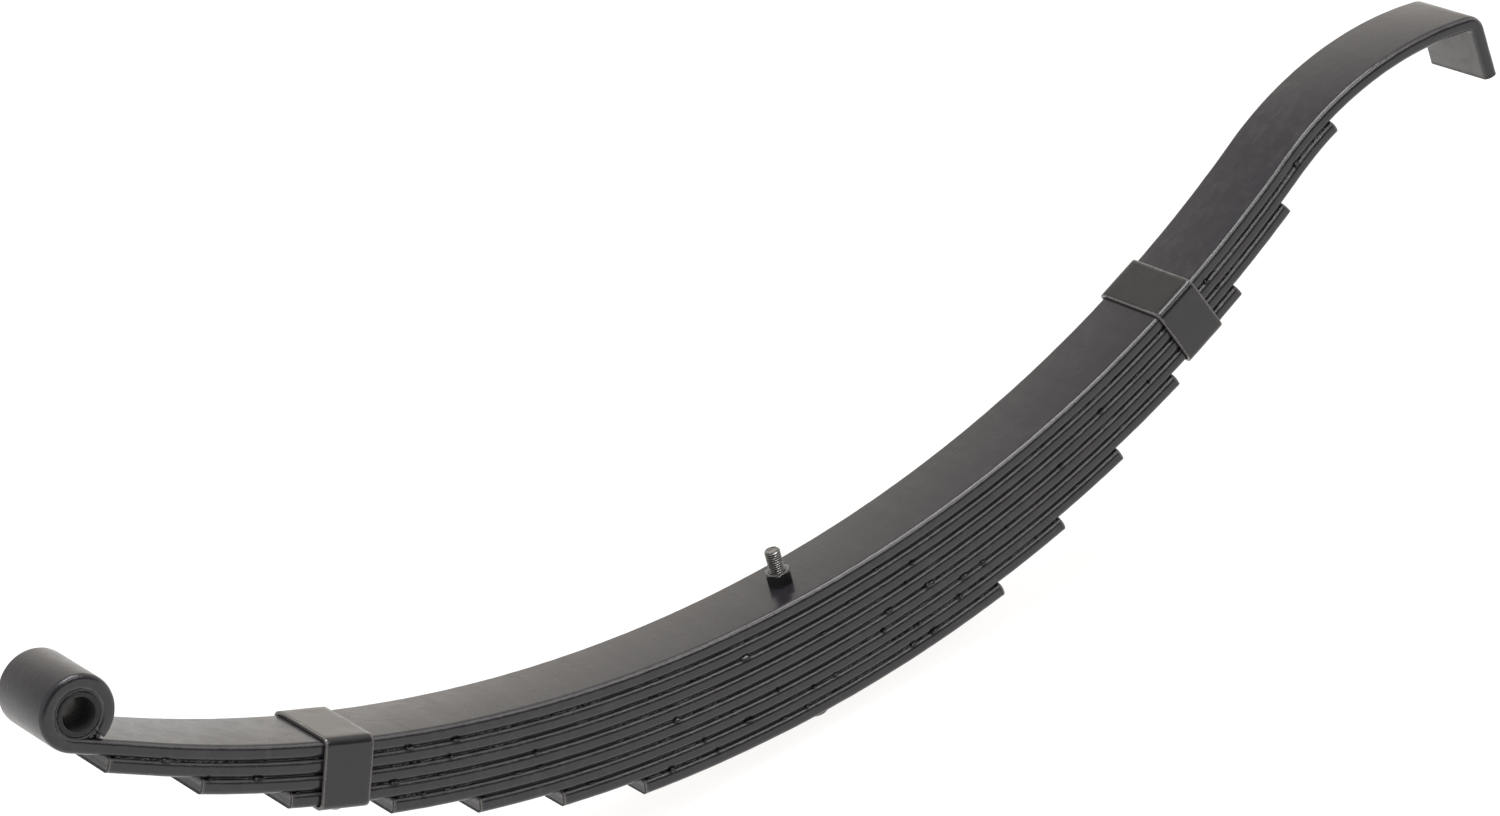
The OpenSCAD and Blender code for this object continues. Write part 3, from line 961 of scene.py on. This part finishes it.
def strap_ring(outside, inside, seed):
    """The strap's section at one place round the leaves, its corners broken and its outside uneven."""
    edge = Vector((0.0, outside[0], outside[1]))
    back = Vector((0.0, inside[0], inside[1]))
    out = (edge - back).normalized()
    half = STRAP_W / 2
    widths = [-half + STRAP_BREAK + (STRAP_W - 2 * STRAP_BREAK) * i / 12 for i in range(13)]
    ring = []
    for w in widths:
        bulge = noise.noise(Vector((w * 60, edge.y * 60 + seed, edge.z * 60))) * 0.12 * MM
        ring.append(edge + Vector((w, 0, 0)) + out * (bulge - 0.08 * MM))
    ring.append(edge - out * STRAP_BREAK + Vector((half, 0, 0)))
    ring.append(back + out * STRAP_BREAK + Vector((half, 0, 0)))
    ring += [back + Vector((w, 0, 0)) for w in reversed(widths)]
    ring.append(back + out * STRAP_BREAK + Vector((-half, 0, 0)))
    ring.append(edge - out * STRAP_BREAK + Vector((-half, 0, 0)))
    return ring


def build_clip(node, s, seed):
    """A flat strap folded round the leaves at station s."""
    outer = strap_line(0.0)
    inner = strap_line(STRAP_T)
    last = min(len(outer), len(inner)) - 1
    place = at_station(s)
    rows = []
    for i in range(last + 1):
        outside = outer[round(i * (len(outer) - 1) / last)]
        inside = inner[round(i * (len(inner) - 1) / last)]
        rows.append([place @ p for p in strap_ring(outside, inside, seed)])
    mesh = skin_mesh(node + "_folded", rows)
    mark_edges(mesh, 40)
    shade(mesh, 40)
    clip = link(bpy.data.objects.new(node + "_folded", mesh))
    set_piece(clip, node, CLIP_PAINT)


def rivet_tree():
    """One rivet repeated along a line across the strap."""
    tree, given, out = new_tree("rivet row", [
        ("Spacing", "Float"), ("Count", "Int"), ("Finish", "Material")])
    start = combine(tree, Y=maths(tree, "MULTIPLY", given["Spacing"], -0.5))
    step = combine(tree, Y=given["Spacing"])
    inputs = {"Count": given["Count"], "Start Location": start, "Offset": step}
    row = add(tree, "GeometryNodeMeshLine", inputs, mode="OFFSET").outputs["Mesh"]
    inputs = {"Points": row, "Instance": given["Geometry"]}
    placed = add(tree, "GeometryNodeInstanceOnPoints", inputs).outputs["Instances"]
    dress(tree, realize(tree, placed), given["Finish"], out)
    return tree


def rivet_mesh(name):
    """Button head below the strap, shank, and a flush head let into leaf 4."""
    top = STRAP_LOW + STRAP_T + LEAF_T
    rows = []
    for i in range(1, 9):
        a = math.radians(90 * i / 8)
        z = STRAP_LOW - RIVET_HEAD_H * math.cos(a) - 0.01 * MM
        rows.append(ring_points(RIVET_HEAD_R * math.sin(a), z, 40))
    rows += [ring_points(RIVET_R, STRAP_LOW, 40), ring_points(RIVET_R, top - 3 * MM, 40),
             ring_points(RIVET_HEAD_R, top, 40)]
    return skin_mesh(name, rows)


def build_rivets():
    tree = rivet_tree()
    for node, s in (("eye_end_clip_rivets", EYE_CLIP_S), ("slipper_end_clip_rivets", SLIPPER_CLIP_S)):
        rivets = run_tree(node + "_set", tree, rivet_mesh(node + "_one"),
                          {"Spacing": 2 * RIVET_Y, "Count": 2, "Finish": CLIP_PAINT})
        rivets.data.transform(at_station(s))
        mark_edges(rivets.data)
        shade(rivets.data, 40)
        set_piece(rivets, node, CLIP_PAINT)


# ---------------------------------------------------------------- surroundings

# The floor's half size in metres, and how white it shows
FLOOR_HALF = 14.0
FLOOR_GLOW = 0.93

# Each part of the room's light: the way it lies, and how much it gives or takes.
# In front it is dim; behind it is warm and brighter, and brighter still low down; high up it is dimmer.
FRONT_WAY = (0.1, -0.97, 0.1)
FRONT_LIGHT = 0.12
BACK_WAY = (0.5, 0.86, -0.05)
BACK_GLOW = 0.14
HIGH_WAY = (-0.35, 0.6, 0.72)
HIGH_SHADE = 0.33
LOW_WAY = (0.5, 0.82, -0.28)
LOW_GLOW = 0.3

# The camera: where it stands, what it looks at, its roll in degrees and its lens in millimetres
CAMERA_SPOT = (-1.71058, -3.3213, 2.00032)
CAMERA_AIM = (0.01404, 0.0, 0.23558)
CAMERA_ROLL = -15.442
CAMERA_LENS = 137.211


def build_floor():
    """A wide pale floor under the spring."""
    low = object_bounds()[0][2]
    mesh = bpy.data.meshes.new("floor")
    size = FLOOR_HALF
    corners = [(-size, -size, low), (size, -size, low), (size, size, low), (-size, size, low)]
    mesh.from_pydata(corners, [], [(0, 1, 2, 3)])
    floor = link(bpy.data.objects.new("floor", mesh))
    finish, _, shader = new_finish("pale floor")
    shader.inputs["Base Color"].default_value = (0.2, 0.2, 0.2, 1)
    shader.inputs["Roughness"].default_value = 0.9
    shader.inputs["Specular IOR Level"].default_value = 0.0
    shader.inputs["Emission Color"].default_value = (1, 0.985, 0.965, 1)
    shader.inputs["Emission Strength"].default_value = FLOOR_GLOW
    mesh.materials.append(finish)


def toward(tree, way, aim):
    """How nearly the direction way lies along aim."""
    return add(tree, "ShaderNodeVectorMath", {0: way, 1: aim}, operation="DOT_PRODUCT").outputs["Value"]


def build_light():
    """A white room whose brightness and warmth change with direction."""
    world = bpy.data.worlds.new("white room")
    bpy.context.scene.world = world
    world.use_nodes = True
    tree = world.node_tree
    way = tree.nodes.new("ShaderNodeTexCoord").outputs["Generated"]
    back = toward(tree, way, BACK_WAY)
    dim = remap(tree, toward(tree, way, FRONT_WAY), 0.1, 0.85, 0.95, FRONT_LIGHT)
    glow = remap(tree, back, 0.5, 1.0, 0.0, BACK_GLOW)
    glow = maths(tree, "ADD", glow, remap(tree, toward(tree, way, LOW_WAY), 0.86, 0.97, 0.0, LOW_GLOW))
    shadow = remap(tree, toward(tree, way, HIGH_WAY), 0.7, 1.0, 0.0, HIGH_SHADE)
    light = maths(tree, "SUBTRACT", maths(tree, "ADD", dim, glow), shadow)
    colour = blend_colour(tree, remap(tree, back, 0.0, 1.0), (0.985, 0.985, 1.0, 1), (1.0, 0.952, 0.88, 1))
    sky = tree.nodes["Background"]
    tree.links.new(light, sky.inputs["Strength"])
    tree.links.new(colour, sky.inputs["Color"])


def aimed(spot, aim):
    """The placing of a thing at spot that looks at aim."""
    spot = Vector(spot)
    look = (Vector(aim) - spot).to_track_quat("-Z", "Y").to_matrix().to_4x4()
    return Matrix.Translation(spot) @ look


def soft_panel(name, place, aim, width, depth, brightness, colour):
    """A rectangular soft light; brightness is how bright its face looks beside the white floor."""
    lamp = bpy.data.lights.new(name, "AREA")
    lamp.shape = "RECTANGLE"
    lamp.size = width
    lamp.size_y = depth
    lamp.energy = brightness * math.pi * width * depth
    lamp.color = colour
    panel = link(bpy.data.objects.new(name, lamp))
    panel.matrix_world = aimed(place, aim)
    panel.visible_camera = False


def build_panels():
    """A strong panel overhead for the shoulders, and a weaker one high in front for the sides."""
    soft_panel("overhead panel", (0.45, -0.35, 2.6), (0.2, 0.0, 0.1), 2.0, 1.0, 7.0, (1.0, 0.975, 0.985))
    soft_panel("front panel", (0.8, -1.9, 2.1), (0.1, 0.0, 0.1), 2.0, 0.4, 5.5, (0.98, 0.98, 1.0))


def build_camera():
    """A long lens looking down on the front and the eye end, with a slight roll."""
    lens = bpy.data.cameras.new("camera")
    lens.lens = CAMERA_LENS
    lens.sensor_width = 36
    camera = link(bpy.data.objects.new("camera", lens))
    camera.matrix_world = aimed(CAMERA_SPOT, CAMERA_AIM) @ Matrix.Rotation(math.radians(CAMERA_ROLL), 4, "Z")
    bpy.context.scene.camera = camera


build_camera()
build_leaves()
build_seam_paint()
build_bush()
build_bolt()
build_nut()
build_clip("eye_end_clip", EYE_CLIP_S, 3)
build_clip("slipper_end_clip", SLIPPER_CLIP_S, 8)
build_rivets()
build_floor()
build_light()
build_panels()
bpy.context.scene.view_settings.view_transform = "Standard"
